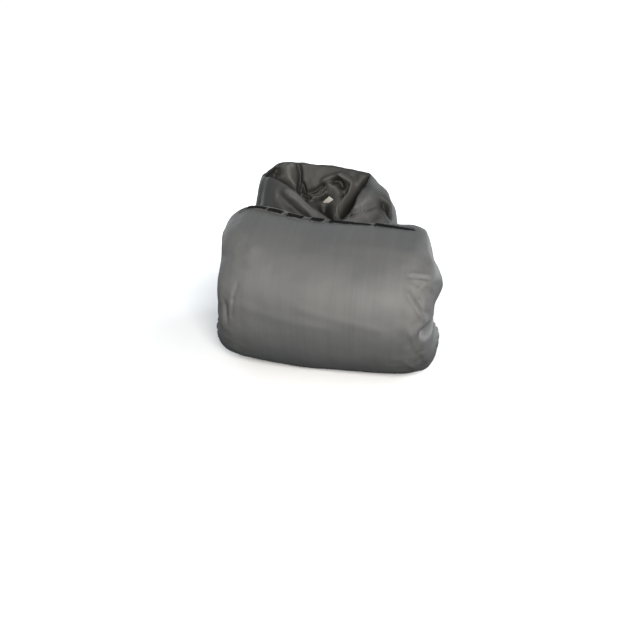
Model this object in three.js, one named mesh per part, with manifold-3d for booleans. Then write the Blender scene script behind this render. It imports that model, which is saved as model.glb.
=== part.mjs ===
// A vehicle cover packed away: the sewn cloth is wound into one thick roll with tucked ends, and the
// last of the same cloth stands gathered behind the roll like the mouth of a sack.
// Millimetres. +X runs along the roll, +Y towards the gathered end, +Z up, and the floor is z = 0.
import * as THREE from 'three';
import { mergeVertices } from 'three/addons/utils/BufferGeometryUtils.js';
import Module from 'manifold-3d';

const wasm = await Module();
wasm.setup();

// Driving dimensions
const ROLL = { x: 10, length: 414, flatSpot: 8 };
const GATHER = { x: -55, y: 192, width: 312, depth: 150, square: 0.84 };
const SLUMP = { right: 22, forward: 24, lap: 46 };
const MOUTH = { x: -8, y: 150, level: 230 };
const MOUTH_AIM = { x: -58, y: 106, z: 420 };
const HEM = { from: -0.87, to: 0.92 };
const ELASTIC = { width: 8.4, thickness: 2, clearance: 0.5 };
const LABEL = { width: 12, length: 20, thickness: 1, clearance: 0.3 };
const LABEL_PLACE = { x: -42, y: 203, z: 260, yaw: 12, lean: 24, roll: 42 };

const ROLL_STEPS = { along: 36, around: 60 };
const GATHER_STEPS = { mouth: 18, around: 108 };
const HEM_STEPS = { whole: 36, each: 8 };
const COLOURS = { cloth: 0x767774, elastic: 0x17181a, label: 0xe6e2da };

// Lengthwise half profile of the roll, from the sunken middle of its right end to that of its left.
const ROLL_PROFILE = [
  { along: 0.84, out: 0.0 },
  { along: 0.9, out: 0.17 },
  { along: 0.98, out: 0.4 },
  { along: 1.0, out: 0.64 },
  { along: 0.965, out: 0.86 },
  { along: 0.88, out: 0.965 },
  { along: 0.6, out: 1.0 },
  { along: 0.0, out: 1.0 },
  { along: -0.55, out: 1.0 },
  { along: -0.84, out: 0.965 },
  { along: -0.955, out: 0.86 },
  { along: -1.0, out: 0.64 },
  { along: -0.98, out: 0.4 },
  { along: -0.91, out: 0.17 },
  { along: -0.87, out: 0.0 },
];

// Height and depth of the roll's section along its length.
const ROLL_SECTIONS = [
  { along: -1.0, height: 299, depth: 276 },
  { along: -0.72, height: 302, depth: 288 },
  { along: -0.3, height: 282, depth: 300 },
  { along: 0.1, height: 276.5, depth: 304 },
  { along: 0.6, height: 278, depth: 300 },
  { along: 1.0, height: 284, depth: 286 },
];

// How far each end is drawn in, by the turn round the roll: front 0, top 90, back 180, underside 270.
const END_DRAW = [
  { turn: 0, left: 16, right: 6 },
  { turn: 12, left: 15, right: 7 },
  { turn: 22, left: 15, right: 6 },
  { turn: 34, left: 15, right: 0 },
  { turn: 45, left: 13, right: -4 },
  { turn: 56, left: 8, right: 1 },
  { turn: 66, left: 3, right: 10 },
  { turn: 90, left: -3, right: 25 },
  { turn: 112, left: 3, right: 33 },
  { turn: 145, left: 10, right: 36 },
  { turn: 190, left: 6, right: 24 },
  { turn: 235, left: 6, right: 12 },
  { turn: 270, left: 0, right: 6 },
  { turn: 305, left: -22.1, right: -5 },
  { turn: 320, left: -4, right: -3 },
  { turn: 335, left: 9, right: 3 },
  { turn: 348, left: 14, right: 6 },
];

// How far the underside is lifted off the floor along the roll.
const END_LIFT = [
  { along: -1.0, rise: 0 },
  { along: -0.6, rise: 0 },
  { along: 0.45, rise: 0 },
  { along: 0.7, rise: 3 },
  { along: 1.0, rise: 12 },
];

// Tucks that run from the sunken ends out over the rim, drawing it in, and fade along the roll.
const END_TUCKS = [
  { end: 1, turn: -2, spread: 4.5, depth: 13, draw: 20, reach: 26 },
  { end: 1, turn: 32, spread: 9, depth: 5, draw: 0, reach: 60 },
  { end: 1, turn: -48, spread: 7, depth: 9, draw: 0, reach: 40 },
  { end: 1, turn: 64, spread: 11, depth: 6, draw: 2, reach: 60 },
  { end: 1, turn: 118, spread: 12, depth: 11, draw: 4, reach: 70 },
  { end: 1, turn: 172, spread: 11, depth: 13, draw: 8, reach: 80 },
  { end: 1, turn: 222, spread: 12, depth: 10, draw: 4, reach: 60 },
  { end: -1, turn: -5, spread: 6, depth: 6, draw: -3, reach: 26 },
  { end: -1, turn: 36, spread: 10, depth: 5, draw: 0, reach: 70 },
  { end: -1, turn: -44, spread: 10, depth: 5, draw: 0, reach: 50 },
  { end: -1, turn: 80, spread: 12, depth: 5, draw: 0, reach: 60 },
  { end: -1, turn: 132, spread: 12, depth: 12, draw: 5, reach: 76 },
  { end: -1, turn: 186, spread: 11, depth: 12, draw: 8, reach: 70 },
  { end: -1, turn: 232, spread: 11, depth: 9, draw: 4, reach: 56 },
];

// Broad unevenness of the winding, as waves along and round the roll.
const ROLL_WAVES = [
  { height: 1.6, along: 2.1, around: 2, shift: 0.6 },
  { height: 1.2, along: 4.7, around: 3, shift: 2.4 },
];

// The rim of the gathered end, seen from above: right 0, back 90, left 180, front 270. The wall is
// drawn in below it, from a start that is a share of the rim's height.
const RIM = [
  { turn: 0, height: 301, out: 1.065, draw: 41, start: 0.88 },
  { turn: 20, height: 308, out: 1.065, draw: 31, start: 0.92 },
  { turn: 38, height: 317, out: 1.05, draw: 12, start: 0.92 },
  { turn: 60, height: 319, out: 1.0, draw: 4, start: 0.92 },
  { turn: 90, height: 325, out: 1.0, draw: 0, start: 0.92 },
  { turn: 120, height: 331, out: 1.0, draw: 0, start: 0.92 },
  { turn: 140, height: 328, out: 1.0, draw: 2, start: 0.92 },
  { turn: 160, height: 321, out: 0.965, draw: 0, start: 0.92 },
  { turn: 180, height: 315, out: 0.955, draw: 0, start: 0.92 },
  { turn: 210, height: 316, out: 0.97, draw: 0, start: 0.9 },
  { turn: 228, height: 318, out: 1.0, draw: 0, start: 0.85 },
  { turn: 244, height: 309, out: 1.0, draw: 0, start: 0.8 },
  { turn: 258, height: 290, out: 1.0, draw: 0, start: 0.75 },
  { turn: 270, height: 262, out: 1.0, draw: 0, start: 0.7 },
  { turn: 284, height: 238, out: 1.0, draw: 0, start: 0.65 },
  { turn: 297, height: 242, out: 1.01, draw: 8, start: 0.62 },
  { turn: 310, height: 260, out: 1.04, draw: 24, start: 0.62 },
  { turn: 324, height: 280, out: 1.06, draw: 38, start: 0.66 },
  { turn: 340, height: 294, out: 1.06, draw: 43, start: 0.76 },
];

// Section of the gathered end: up its slumped outside, over the folded rim and down into the mouth.
const WALL_PROFILE = [
  { out: 0.0, level: 0.0 },
  { out: 0.96, level: 0.0 },
  { out: 1.1, level: 0.025 },
  { out: 1.18, level: 0.08 },
  { out: 1.21, level: 0.16 },
  { out: 1.2, level: 0.25 },
  { out: 1.17, level: 0.34 },
  { out: 1.125, level: 0.43 },
  { out: 1.08, level: 0.52 },
  { out: 1.035, level: 0.62 },
  { out: 0.985, level: 0.73 },
  { out: 0.945, level: 0.82 },
  { out: 0.9, level: 0.92 },
  { out: 0.865, level: 0.98 },
  { out: 0.83, level: 1.0 },
];
const MOUTH_PROFILE = [
  { out: 0.965, level: 0.95 },
  { out: 0.92, level: 0.8 },
  { out: 0.86, level: 0.6 },
  { out: 0.76, level: 0.43 },
  { out: 0.64, level: 0.33 },
  { out: 0.5, level: 0.27 },
  { out: 0.34, level: 0.19 },
  { out: 0.17, level: 0.08 },
  { out: 0.0, level: 0.0 },
];

// Folds inside the mouth, ridges above 0 and troughs below. Each runs from one share of the way
// between the mouth's low front, 0, and its rim, 1, to another, and bends round on its way down.
const MOUTH_FOLDS = [
  { turn: 45, spread: 7, height: -11, from: 0.36, to: 0.97, bend: 20 },
  { turn: 65, spread: 8, height: 19, from: 0.26, to: 1.0, bend: 12 },
  { turn: 87, spread: 9, height: 8, from: 0.82, to: 1.0, bend: 0 },
  { turn: 81, spread: 6, height: -9, from: 0.66, to: 0.97, bend: 0 },
  { turn: 86, spread: 10, height: 14, from: 0.3, to: 0.86, bend: 0 },
  { turn: 133, spread: 8, height: 16, from: 0.64, to: 1.0, bend: 14 },
  { turn: 117, spread: 5, height: -8, from: 0.62, to: 1.0, bend: 24 },
  { turn: 157, spread: 7, height: -10, from: 0.62, to: 1.0, bend: -36 },
  { turn: 112, spread: 15, height: 7, from: 0.58, to: 0.86, bend: 0 },
  { turn: 116, spread: 18, height: -10, from: 0.4, to: 0.72, bend: 0 },
  { turn: 116, spread: 24, height: -18, from: 0.1, to: 0.5, bend: 0 },
];

// Folds in the outer wall of the gathered end, fading at its foot and rim, leaning as they rise.
const WALL_FOLDS = [
  { turn: 6, spread: 7, depth: 11, lean: 10 },
  { turn: 38, spread: 9, depth: 17, lean: -18 },
  { turn: 66, spread: 6, depth: 9, lean: 8 },
  { turn: 94, spread: 9, depth: 18, lean: 20 },
  { turn: 122, spread: 6, depth: 10, lean: -12 },
  { turn: 150, spread: 9, depth: 17, lean: 16 },
  { turn: 178, spread: 7, depth: 9, lean: -8 },
  { turn: 210, spread: 7, depth: 5, lean: 6 },
  { turn: 328, spread: 7, depth: 7, lean: -10 },
];

// Creases across the wall where the gathered end sags on itself, climbing round it as they go.
const SAGS = [
  { turn: 62, spread: 34, level: 0.4, tall: 0.07, depth: 15, climb: 0.12 },
  { turn: 128, spread: 30, level: 0.3, tall: 0.07, depth: 16, climb: -0.16 },
  { turn: 176, spread: 22, level: 0.46, tall: 0.07, depth: 13, climb: 0.1 },
  { turn: 14, spread: 22, level: 0.34, tall: 0.07, depth: 13, climb: -0.1 },
  { turn: 96, spread: 26, level: 0.64, tall: 0.06, depth: 9, climb: 0.14 },
];

// Cross-section of the turned hem that stands along the crest of the roll, and of the elastic on it.
const HEM_SECTION = [
  { across: -12, out: -3 },
  { across: 6, out: -3 },
  { across: 5.2, out: 1.8 },
  { across: 3, out: 4.4 },
  { across: 0.2, out: 5.6 },
  { across: -3.4, out: 5.2 },
  { across: -13, out: 0.4 },
];
const ELASTIC_SLOPE = { low: 6, high: 5 };

// Where round the roll the hem lies, along its length.
const HEM_LINE = [
  { along: -0.9, turn: 88 },
  { along: -0.7, turn: 92.5 },
  { along: -0.45, turn: 93.5 },
  { along: -0.15, turn: 97 },
  { along: 0.15, turn: 98 },
  { along: 0.4, turn: 95 },
  { along: 0.62, turn: 90 },
  { along: 0.95, turn: 82 },
];

// Stretches, as shares of the roll's half length, where the elastic shows on the hem.
const ELASTIC_SHOWS = [
  { from: -0.77, to: -0.61 },
  { from: -0.58, to: -0.46 },
  { from: -0.41, to: -0.28 },
  { from: -0.2, to: -0.09 },
  { from: -0.03, to: 0.34 },
  { from: 0.39, to: 0.8 },
];

const TURN = 360;
const radians = THREE.MathUtils.degToRad;
const { clamp, lerp, smoothstep, euclideanModulo } = THREE.MathUtils;

// A smooth value between two rows of a table, its slope at each row taken from the rows beside it.
function hermite(share, span, before, start, end, after) {
  const slopeStart = ((end.value - before.value) / (end.at - before.at)) * span;
  const slopeEnd = ((after.value - start.value) / (after.at - start.at)) * span;
  const s2 = share * share;
  const s3 = s2 * share;
  return start.value * (2 * s3 - 3 * s2 + 1) + slopeStart * (s3 - 2 * s2 + share)
    + end.value * (3 * s2 - 2 * s3) + slopeEnd * (s3 - s2);
}

// A value from a table of turns, smooth between its rows and closed round the circle.
function roundTable(table, column, turn) {
  const angle = euclideanModulo(turn, TURN);
  const count = table.length;
  const found = table.findIndex((row) => row.turn > angle);
  const next = found < 0 ? count : found;
  const row = (i) => ({
    at: table[euclideanModulo(i, count)].turn + TURN * Math.floor(i / count),
    value: table[euclideanModulo(i, count)][column],
  });
  const start = row(next - 1);
  const end = row(next);
  const span = end.at - start.at;
  return hermite((angle - start.at) / span, span, row(next - 2), start, end, row(next + 1));
}

// A value from a table of places along the roll, smooth between its rows.
function alongTable(table, column, along) {
  const last = table.length - 1;
  const found = table.findIndex((row) => row.along > along);
  const next = found < 0 ? last : Math.max(found, 1);
  const row = (i) => ({ at: table[i].along, value: table[i][column] });
  const start = row(next - 1);
  const end = row(next);
  const span = end.at - start.at;
  const share = clamp((along - start.at) / span, 0, 1);
  return hermite(share, span, row(Math.max(next - 2, 0)), start, end, row(Math.min(next + 1, last)));
}

// A soft bump that is 1 on its own turn and fades over its spread, both in degrees.
function bump(turn, row) {
  const away = euclideanModulo(turn - row.turn + TURN / 2, TURN) - TURN / 2;
  return Math.exp(-((away / row.spread) ** 2));
}

// Where the roll's cloth lies, from its place along the roll, out from the axis and round it.
function rollPoint(along, out, turn) {
  const half = ROLL.length / 2;
  const height = alongTable(ROLL_SECTIONS, 'height', along);
  const depth = alongTable(ROLL_SECTIONS, 'depth', along);
  const rimmed = smoothstep(out, 0, 0.6);
  let draw = roundTable(END_DRAW, along < 0 ? 'left' : 'right', turn) * Math.abs(along) ** 3;
  let dent = 0;
  for (const tuck of END_TUCKS) {
    const fromEnd = half * (1 - along * tuck.end);
    const fade = (1 - smoothstep(fromEnd, 0, tuck.reach)) * bump(turn, tuck);
    dent += tuck.depth * fade;
    draw += tuck.draw * fade;
  }
  const around = radians(turn);
  for (const wave of ROLL_WAVES) {
    dent += wave.height * Math.sin(wave.along * along + wave.around * around + wave.shift);
  }
  const reach = out - (dent * rimmed * out) / (depth / 2);
  const x = ROLL.x + along * half - Math.sign(along) * draw * rimmed;
  const y = (-Math.cos(around) * reach * depth) / 2;
  const lift = alongTable(END_LIFT, 'rise', along) * smoothstep(-Math.sin(around), 0.1, 0.9) * rimmed;
  const z = height / 2 - ROLL.flatSpot + (Math.sin(around) * reach * height) / 2;
  return new THREE.Vector3(x, y, Math.max(z + lift, 0));
}

// The cosine or sine of a turn, squared off a little so that the gathered end is not a plain oval.
function squared(value) {
  return Math.sign(value) * Math.abs(value) ** GATHER.square;
}

// How far the gathered end's wall is dented by its folds and sags at a level and turn.
function wallDent(level, turn) {
  const pleat = smoothstep(level, 0.02, 0.35) * (1 - 0.75 * smoothstep(level, 0.7, 1));
  const folds = WALL_FOLDS.reduce((sum, row) => (
    sum + row.depth * bump(turn - row.lean * (level - 0.5), row)
  ), 0);
  return SAGS.reduce((sum, row) => {
    const away = euclideanModulo(turn - row.turn + TURN / 2, TURN) - TURN / 2;
    const off = (level - row.level - (row.climb * away) / row.spread) / row.tall;
    return sum + row.depth * bump(turn, row) * Math.exp(-off * off);
  }, folds * pleat);
}

// Where the outer wall of the gathered end lies, from its row of the section and the turn round it.
function wallPoint(out, level, turn) {
  const around = radians(turn);
  const reach = out * roundTable(RIM, 'out', turn);
  const slump = 1 - smoothstep(level, 0, 0.8);
  const lap = SLUMP.lap * smoothstep(-Math.sin(around), 0, 1) * (1 - smoothstep(level, 0.5, 1));
  const drawn = smoothstep(level, roundTable(RIM, 'start', turn), 1) * roundTable(RIM, 'draw', turn);
  const dent = wallDent(level, turn) * out + drawn;
  return new THREE.Vector3(
    GATHER.x + SLUMP.right * slump + squared(Math.cos(around)) * ((reach * GATHER.width) / 2 - dent),
    GATHER.y - SLUMP.forward * slump - lap * out
      + squared(Math.sin(around)) * ((reach * GATHER.depth) / 2 - dent),
    level * roundTable(RIM, 'height', turn),
  );
}

// Where the cloth inside the mouth lies, from the rim at 1 to the low front of the mouth at 0, its
// folds standing towards a point above it.
function mouthPoint(out, level, turn) {
  const brim = wallPoint(WALL_PROFILE[WALL_PROFILE.length - 1].out, 1, turn);
  const fold = MOUTH_FOLDS.reduce((sum, row) => {
    const middle = (row.from + row.to) / 2;
    const near = 1 - Math.abs(out - middle) / (row.to - middle);
    return sum + row.height * bump(turn - row.bend * (1 - out), row) * smoothstep(near, 0, 0.7);
  }, 0);
  const point = new THREE.Vector3(
    lerp(MOUTH.x, brim.x, out),
    lerp(MOUTH.y, brim.y, out),
    lerp(MOUTH.level, brim.z, level),
  );
  const aim = new THREE.Vector3(MOUTH_AIM.x, MOUTH_AIM.y, MOUTH_AIM.z).sub(point).normalize();
  return point.addScaledVector(aim, fold);
}

// A closed surface spun from rows of a profile, each of its points then laid where place says.
function spun(rows, steps, place) {
  const geometry = new THREE.LatheGeometry(rows.map((_, i) => new THREE.Vector2(1, i)), steps);
  const points = geometry.getAttribute('position');
  for (let i = 0; i < points.count; i += 1) {
    const turn = (Math.floor(i / rows.length) * TURN) / steps;
    const point = place(rows[i % rows.length], turn % TURN);
    points.setXYZ(i, point.x, point.y, point.z);
  }
  return geometry;
}

// The wound roll, a closed skin whose two ends sink to their tucked middles.
function rollGeometry() {
  const corners = ROLL_PROFILE.map((row) => new THREE.Vector2(row.out, row.along));
  const rows = new THREE.SplineCurve(corners).getSpacedPoints(ROLL_STEPS.along);
  rows[0].x = 0;
  rows[rows.length - 1].x = 0;
  return spun(rows, ROLL_STEPS.around, (row, turn) => rollPoint(row.y, row.x, turn));
}

// The gathered end, from the middle of its foot up its wall and down into its mouth.
function gatherGeometry() {
  const wall = WALL_PROFILE.map((row) => ({ ...row, lay: wallPoint }));
  const corners = MOUTH_PROFILE.map((row) => new THREE.Vector2(row.out, row.level));
  const inner = new THREE.SplineCurve(corners).getSpacedPoints(GATHER_STEPS.mouth);
  const mouth = inner.map((row) => ({ out: row.x, level: row.y, lay: mouthPoint }));
  mouth[mouth.length - 1].out = 0;
  return spun([...wall, ...mouth], GATHER_STEPS.around, (row, turn) => row.lay(row.out, row.level, turn));
}

// How far out from the axis the roll's skin lies at a place along it, read from its profile.
function crestOut(along) {
  const skin = ROLL_PROFILE.filter((row) => row.out > 0.8).reverse();
  return alongTable(skin, 'out', along);
}

// A strip of constant section laid along the crest of the roll between two places on it.
function crestStrip(section, from, to, steps) {
  const shape = new THREE.Shape(section.map((corner) => new THREE.Vector2(corner.across, corner.out)));
  const strip = new THREE.ExtrudeGeometry(shape, { depth: 1, steps, bevelEnabled: false });
  const points = strip.getAttribute('position');
  for (let i = 0; i < points.count; i += 1) {
    const along = lerp(from, to, points.getZ(i));
    const turn = alongTable(HEM_LINE, 'turn', along);
    const base = rollPoint(along, crestOut(along), turn);
    const back = rollPoint(along, crestOut(along), turn + 1).sub(base).setX(0).normalize();
    const outward = new THREE.Vector3(0, -back.z, back.y);
    base.addScaledVector(back, points.getX(i)).addScaledVector(outward, points.getY(i));
    points.setXYZ(i, base.x, base.y, base.z);
  }
  return strip;
}

// The section of the elastic, lying clear of the sloping front of the hem.
function elasticSection() {
  const low = HEM_SECTION[ELASTIC_SLOPE.low];
  const high = HEM_SECTION[ELASTIC_SLOPE.high];
  const slope = new THREE.Vector2(high.across - low.across, high.out - low.out);
  const spare = (slope.length() - ELASTIC.width) / 2;
  slope.normalize();
  const off = new THREE.Vector2(-slope.y, slope.x);
  const near = ELASTIC.clearance;
  const far = near + ELASTIC.thickness;
  const ends = [[spare, near], [spare + ELASTIC.width, near], [spare + ELASTIC.width, far], [spare, far]];
  return ends.map(([up, away]) => ({
    across: low.across + slope.x * up + off.x * away,
    out: low.out + slope.y * up + off.y * away,
  }));
}

// The label's blank, or the slit it is seated in when it is grown by a clearance.
function labelGeometry(clearance) {
  const grown = 2 * clearance;
  const blank = new THREE.BoxGeometry(LABEL.width + grown, LABEL.thickness + grown, LABEL.length + grown);
  blank.rotateY(radians(LABEL_PLACE.roll));
  blank.rotateX(radians(LABEL_PLACE.lean));
  blank.rotateZ(radians(LABEL_PLACE.yaw));
  return blank.translate(LABEL_PLACE.x, LABEL_PLACE.y, LABEL_PLACE.z);
}

// A three.js geometry as a solid that can be joined and cut, without the slivers at its poles.
function solid(geometry) {
  const bare = geometry.clone();
  bare.deleteAttribute('normal');
  bare.deleteAttribute('uv');
  const merged = mergeVertices(bare, 1e-3);
  const corners = merged.index.array;
  const kept = [];
  for (let i = 0; i < corners.length; i += 3) {
    const [a, b, c] = corners.slice(i, i + 3);
    if (a !== b && b !== c && c !== a) kept.push(a, b, c);
  }
  return new wasm.Manifold(new wasm.Mesh({
    numProp: 3,
    vertProperties: new Float32Array(merged.getAttribute('position').array),
    triVerts: new Uint32Array(kept),
  }));
}

// A joined or cut solid as a three.js geometry again.
function geometryOf(made) {
  const mesh = made.getMesh();
  const geometry = new THREE.BufferGeometry();
  geometry.setAttribute('position', new THREE.BufferAttribute(mesh.vertProperties, 3));
  geometry.setIndex(new THREE.BufferAttribute(mesh.triVerts, 1));
  geometry.computeVertexNormals();
  return geometry;
}

const group = new THREE.Group();

function addPiece(name, made, color) {
  const finish = new THREE.MeshStandardMaterial({ color, roughness: 0.85, metalness: 0 });
  const piece = new THREE.Mesh(geometryOf(made), finish);
  piece.name = name;
  group.add(piece);
}

const hem = solid(crestStrip(HEM_SECTION, HEM.from, HEM.to, HEM_STEPS.whole));
const slit = solid(labelGeometry(LABEL.clearance));
const cloth = solid(rollGeometry()).add(solid(gatherGeometry())).add(hem).subtract(slit);
addPiece('cover_cloth', cloth, COLOURS.cloth);
ELASTIC_SHOWS.forEach(({ from, to }, i) => {
  const stretch = crestStrip(elasticSection(), from, to, HEM_STEPS.each);
  addPiece(`hem_elastic_${i + 1}`, solid(stretch), COLOURS.elastic);
});
addPiece('care_label', solid(labelGeometry(0)), COLOURS.label);

// The origin is the middle of the footprint, on the floor.
const middle = new THREE.Box3().setFromObject(group).getCenter(new THREE.Vector3());
group.children.forEach((piece) => piece.geometry.translate(-middle.x, -middle.y, 0));

export default group;
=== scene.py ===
import math
from collections import namedtuple

import bmesh
import bpy
import numpy as np
from mathutils import Matrix, Vector, noise
from mathutils.bvhtree import BVHTree


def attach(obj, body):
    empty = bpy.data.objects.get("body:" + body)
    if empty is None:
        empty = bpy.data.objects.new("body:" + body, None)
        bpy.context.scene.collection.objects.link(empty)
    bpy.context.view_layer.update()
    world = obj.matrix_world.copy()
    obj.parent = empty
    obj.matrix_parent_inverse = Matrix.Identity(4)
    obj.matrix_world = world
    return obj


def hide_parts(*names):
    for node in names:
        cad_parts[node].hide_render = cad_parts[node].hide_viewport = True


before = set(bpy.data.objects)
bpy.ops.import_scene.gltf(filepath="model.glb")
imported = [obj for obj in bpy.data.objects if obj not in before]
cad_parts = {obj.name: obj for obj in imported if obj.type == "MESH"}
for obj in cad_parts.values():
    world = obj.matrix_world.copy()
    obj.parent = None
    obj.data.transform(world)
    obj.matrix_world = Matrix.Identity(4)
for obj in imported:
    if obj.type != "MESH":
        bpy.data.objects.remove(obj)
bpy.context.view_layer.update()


# Floor
# A wide sheet of white studio paper that reaches past the horizon. It carries the cover and its soft
# shadow, and throws no light back up at it.
PAPER_REACH = 200.0
PAPER_TONE = (0.70, 0.72, 0.745)
PAPER_GLOW = 0.8
PAPER_NEAR = 0.30
PAPER_FAR = 0.95


class Wire:
    """One socket in a material: sums on it add Math nodes, and make() adds any other node."""

    def __init__(self, tree, socket=None):
        self.tree = tree
        self.socket = socket

    def make(self, kind, settings=None, sockets=None, out=0):
        node = self.tree.nodes.new(kind)
        for name, value in (settings or {}).items():
            if name == "stops":
                ramp = node.color_ramp.elements
                while len(ramp) < len(value):
                    ramp.new(0.5)
                for element, (position, tone) in zip(ramp, value):
                    element.position = position
                    element.color = tone
            else:
                setattr(node, name, value)
        for name, value in (sockets or {}).items():
            if isinstance(value, Wire):
                self.tree.links.new(value.socket, node.inputs[name])
            else:
                node.inputs[name].default_value = value
        return Wire(self.tree, node.outputs[out])

    def sum(self, operation, first, second):
        return self.make("ShaderNodeMath", {"operation": operation}, {0: first, 1: second})

    def __add__(self, other):
        return self.sum("ADD", self, other)

    def __radd__(self, other):
        return self.sum("ADD", other, self)

    def __mul__(self, other):
        return self.sum("MULTIPLY", self, other)


def new_finish(name, **constants):
    """A material with one Principled shader, its even values set on the shader's own sockets."""
    material = bpy.data.materials.new(name)
    material.use_nodes = True
    shader = material.node_tree.nodes["Principled BSDF"]
    for socket, value in constants.items():
        shader.inputs[socket.replace("_", " ")].default_value = value
    return material, shader, Wire(material.node_tree)


def feed(shader, socket, wire):
    wire.tree.links.new(wire.socket, shader.inputs[socket])


def piece_from(name, made, *materials):
    """The finished bmesh as a smooth object that sits at the origin, with its faces outwards."""
    if made.calc_volume(signed=True) < 0:
        bmesh.ops.reverse_faces(made, faces=made.faces)
    mesh = bpy.data.meshes.new(name)
    made.to_mesh(mesh)
    made.free()
    mesh.shade_smooth()
    for material in materials:
        mesh.materials.append(material)
    piece = bpy.data.objects.new(name, mesh)
    bpy.context.scene.collection.objects.link(piece)
    return piece


def studio_paper():
    made = bmesh.new()
    bmesh.ops.create_grid(made, x_segments=2, y_segments=2, size=PAPER_REACH)
    return made


def paper_white():
    """White paper that is lit evenly from below, except in the middle where the cover stands."""
    material, shader, start = new_finish(
        "studio_paper", Roughness=0.9, Specular_IOR_Level=0.1, Emission_Strength=PAPER_GLOW
    )
    shader.inputs["Base Color"].default_value = (*PAPER_TONE, 1.0)
    spot = start.make("ShaderNodeTexCoord", out=3)
    away = start.make("ShaderNodeVectorMath", {"operation": "LENGTH"}, {0: spot}, out=1)
    glow = start.make(
        "ShaderNodeMapRange",
        {"interpolation_type": "SMOOTHSTEP"},
        {0: away, 1: PAPER_NEAR, 2: PAPER_FAR, 3: 0.0, 4: 1.0},
    )
    feed(shader, "Emission Color", glow)
    return material


paper = piece_from("studio_paper", studio_paper(), paper_white())
paper.visible_diffuse = False
paper.visible_glossy = False


# Camera and lights
# The camera stands a little to the right of the roll and looks down on it. The main light is a warm
# soft box at its right, the white room fills in from above, and two low boxes light the back.
CAMERA_SPOT = (0.2438, -1.1745, 0.611)
CAMERA_DOWN = 25.1
CAMERA_ROUND = 13.0
CAMERA_LENS = 36.0
CAMERA_SENSOR = 36.0
Lamp = namedtuple("Lamp", "name spot aim width power tone")
LAMPS = [
    Lamp("front_box", (0.52, -1.62, 0.96), (0.0, -0.1, 0.14), 0.7, 72.0, (1.0, 0.94, 0.86)),
    Lamp("back_box_left", (-1.75, 1.25, 0.55), (0.0, 0.05, 0.14), 1.0, 12.0, (0.97, 0.99, 1.0)),
    Lamp("back_box_right", (1.75, 1.25, 0.55), (0.0, 0.05, 0.14), 1.0, 42.0, (0.97, 0.99, 1.0)),
]
ROOM_TONE = (0.945, 0.985, 1.02)
ROOM_LIGHT = 1.06
OVERHEAD_TONE = (0.130, 0.147, 0.160)
GROUND_TONE = (0.114, 0.12, 0.127)
HORIZON = (0.45, 0.495, 0.70)

camera_data = bpy.data.cameras.new("camera")
camera_data.lens = CAMERA_LENS
camera_data.sensor_width = CAMERA_SENSOR
camera = bpy.data.objects.new("camera", camera_data)
camera.location = CAMERA_SPOT
camera.rotation_euler = (math.radians(90.0 - CAMERA_DOWN), 0.0, math.radians(CAMERA_ROUND))
bpy.context.scene.collection.objects.link(camera)
bpy.context.scene.camera = camera
bpy.context.scene.view_settings.view_transform = "Standard"

for lamp in LAMPS:
    light = bpy.data.lights.new(lamp.name, "AREA")
    light.size = lamp.width
    light.energy = lamp.power
    light.color = lamp.tone
    stand = bpy.data.objects.new(lamp.name, light)
    stand.location = lamp.spot
    stand.visible_camera = False
    stand.rotation_euler = (Vector(lamp.aim) - Vector(lamp.spot)).to_track_quat("-Z", "Y").to_euler()
    bpy.context.scene.collection.objects.link(stand)

world = bpy.data.worlds.new("room")
world.use_nodes = True
room = Wire(world.node_tree)
upward = room.make("ShaderNodeSeparateXYZ", None, {0: room.make("ShaderNodeTexCoord")}, out=2)
sky = room.make(
    "ShaderNodeValToRGB",
    {"stops": [
        (HORIZON[0], (*GROUND_TONE, 1.0)),
        (HORIZON[1], (*ROOM_TONE, 1.0)),
        (HORIZON[2], (*ROOM_TONE, 1.0)),
        (1.0, (*OVERHEAD_TONE, 1.0)),
    ]},
    {0: upward * 0.5 + 0.5},
)
backdrop = world.node_tree.nodes["Background"]
backdrop.inputs["Strength"].default_value = ROOM_LIGHT
feed(backdrop, "Color", sky)
bpy.context.scene.world = world


# The wound roll
# Most of the cover, folded to its packed width and wound into a fat roll that is crowned in front.
# Its ends are tucked into their sunken middles, and the tucks draw creases out over the rim.
ROLL_MIDDLE = (0.0085, -0.0564)
ROLL_LENGTH = 0.414
ROLL_FLAT_SPOT = 0.008
ROLL_RADIUS = 0.144
ROLL_STEPS = {"along": 230, "around": 300}

Profile = namedtuple("Profile", "along out")
ROLL_PROFILE = [
    Profile(0.84, 0.0),
    Profile(0.90, 0.17),
    Profile(0.98, 0.40),
    Profile(1.00, 0.64),
    Profile(0.965, 0.86),
    Profile(0.88, 0.965),
    Profile(0.60, 1.0),
    Profile(0.0, 1.0),
    Profile(-0.55, 1.0),
    Profile(-0.84, 0.965),
    Profile(-0.955, 0.86),
    Profile(-1.00, 0.64),
    Profile(-0.98, 0.40),
    Profile(-0.91, 0.17),
    Profile(-0.87, 0.0),
]

# Height and depth of the section along the roll.
Section = namedtuple("Section", "along height depth")
ROLL_SECTIONS = [
    Section(-1.00, 0.299, 0.276),
    Section(-0.72, 0.302, 0.288),
    Section(-0.30, 0.282, 0.300),
    Section(0.10, 0.2765, 0.304),
    Section(0.60, 0.278, 0.300),
    Section(1.00, 0.284, 0.286),
]

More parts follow.
